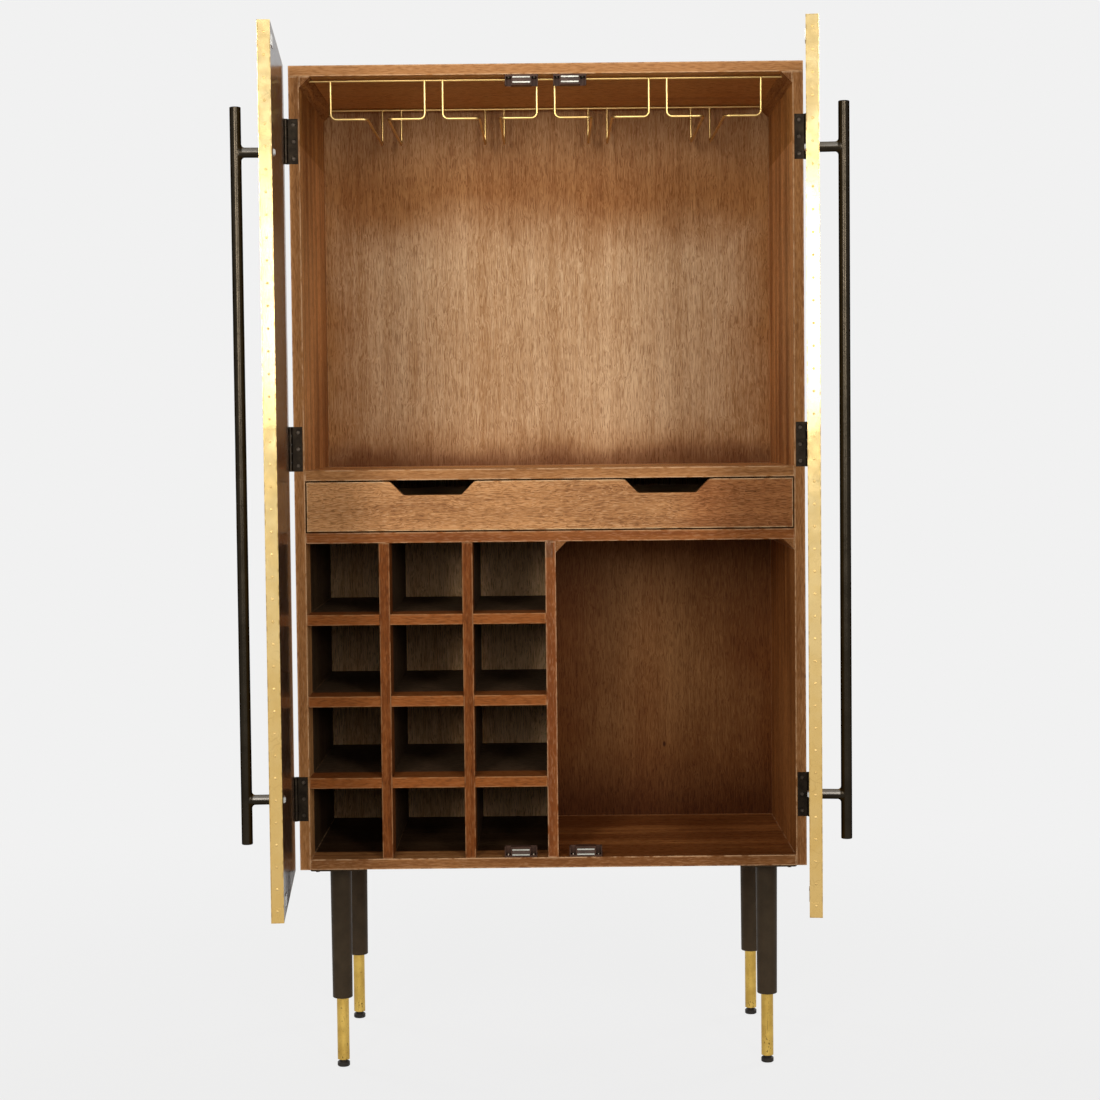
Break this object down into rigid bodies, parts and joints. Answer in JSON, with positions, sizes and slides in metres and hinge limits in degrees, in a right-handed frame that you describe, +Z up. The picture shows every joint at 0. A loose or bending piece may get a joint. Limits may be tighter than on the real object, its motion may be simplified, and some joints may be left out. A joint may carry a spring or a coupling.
{
  "type": "bar armoire",
  "caption": "Tall bar cabinet on slim legs with brass-clad swinging doors, a glass rack, a drawer with finger notches and a bottle rack beside an open compartment.",
  "frame": {"origin": "on the floor, straight below the middle of the carcass's front edge, which is also the bottom centre of the part's box with the doors open", "axes": "+X to the right of someone facing the open doors, +Y to the back, +Z up"},
  "size_m": [0.828, 0.7779, 1.516],
  "materials": {
    "stained_hardwood": "oiled and waxed",
    "back_board": "oiled, darker round the rim",
    "rack_board": "oiled and waxed",
    "drawer_front_board": "oiled and waxed",
    "plain_softwood": "sanded, unfinished",
    "pale_dowel": "unfinished",
    "dark_lacquered_board": "gloss lacquer",
    "brass_sheet": "satin, lightly aged",
    "brass_nail": "satin",
    "brass_wire": "antique",
    "aged_brass": "antique, chipped near the foot",
    "blackened_bronze": "satin black bronze",
    "black_leg_paint": "satin black",
    "black_hinge_steel": "black oxide",
    "bright_steel": "zinc plated",
    "grey_ferrite": "matt ceramic",
    "brown_plastic": "moulded",
    "black_plastic": "moulded"
  },
  "bodies": {
    "cabinet": {"side_panel_left": "stained_hardwood", "side_panel_right": "stained_hardwood", "top_panel": "stained_hardwood", "bottom_panel": "stained_hardwood", "back_panel": "back_board", "upper_shelf": "stained_hardwood", "lower_shelf": "stained_hardwood", "centre_divider": "stained_hardwood", "corner_blocks": "stained_hardwood", "carcass_dowels": "pale_dowel", "rack_upright_left": "rack_board", "rack_upright_right": "rack_board", "rack_shelf_top": "rack_board", "rack_shelf_middle": "rack_board", "rack_shelf_bottom": "rack_board", "drawer_runners": "plain_softwood", "glass_rails": "brass_wire", "glass_hanger_1": "brass_wire", "glass_hanger_2": "brass_wire", "glass_hanger_3": "brass_wire", "glass_hanger_4": "brass_wire", "hinge_frame_leaves": "black_hinge_steel", "hinge_frame_screws": "black_hinge_steel", "hinge_pins": "black_hinge_steel", "catch_housings": "brown_plastic", "catch_pole_plates": "bright_steel", "catch_magnets": "grey_ferrite", "catch_screws": "bright_steel", "leg_plates": "black_leg_paint", "leg_plate_screws": "black_hinge_steel", "leg_bolts": "bright_steel", "leg_ferrules": "aged_brass", "foot_inserts": "black_plastic", "leg_front_left": "black_leg_paint", "leg_front_right": "black_leg_paint", "leg_rear_left": "black_leg_paint", "leg_rear_right": "black_leg_paint"},
    "left_door": {"door_core_left": "dark_lacquered_board", "door_cladding_left": "brass_sheet", "cladding_nails_left": "brass_nail", "door_handle_left": "blackened_bronze", "door_fasteners_left": "black_hinge_steel", "hinge_door_leaves_left": "black_hinge_steel", "strike_plates_left": "bright_steel"},
    "right_door": {"door_core_right": "dark_lacquered_board", "door_cladding_right": "brass_sheet", "cladding_nails_right": "brass_nail", "door_handle_right": "blackened_bronze", "door_fasteners_right": "black_hinge_steel", "hinge_door_leaves_right": "black_hinge_steel", "strike_plates_right": "bright_steel"},
    "drawer": {"drawer_front": "drawer_front_board", "drawer_side_left": "plain_softwood", "drawer_side_right": "plain_softwood", "drawer_back": "plain_softwood", "drawer_bottom": "plain_softwood"},
    "levelling_foot_front_left": {"foot_front_left": "black_plastic"},
    "levelling_foot_front_right": {"foot_front_right": "black_plastic"},
    "levelling_foot_rear_left": {"foot_rear_left": "black_plastic"},
    "levelling_foot_rear_right": {"foot_rear_right": "black_plastic"}
  },
  "joints": [
    {"name": "left_door_hinge", "type": "hinge", "parent": "cabinet", "child": "left_door", "pos_m": [-0.3875, -0.0015, 0.914], "axis": [0, 0, -1], "range_deg": [-86, 94]},
    {"name": "right_door_hinge", "type": "hinge", "parent": "cabinet", "child": "right_door", "pos_m": [0.3875, -0.0015, 0.914], "axis": [0, 0, 1], "range_deg": [-83.25, 96.75]},
    {"name": "drawer_slide", "type": "slide", "parent": "cabinet", "child": "drawer", "axis": [0, -1, 0], "range_m": [0, 0.18]},
    {"name": "foot_screw_front_left", "type": "slide", "parent": "cabinet", "child": "levelling_foot_front_left", "axis": [0, 0, -1], "range_m": [0, 0.008]},
    {"name": "foot_screw_front_right", "type": "slide", "parent": "cabinet", "child": "levelling_foot_front_right", "axis": [0, 0, -1], "range_m": [0, 0.008]},
    {"name": "foot_screw_rear_left", "type": "slide", "parent": "cabinet", "child": "levelling_foot_rear_left", "axis": [0, 0, -1], "range_m": [0, 0.008]},
    {"name": "foot_screw_rear_right", "type": "slide", "parent": "cabinet", "child": "levelling_foot_rear_right", "axis": [0, 0, -1], "range_m": [0, 0.008]}
  ]
}
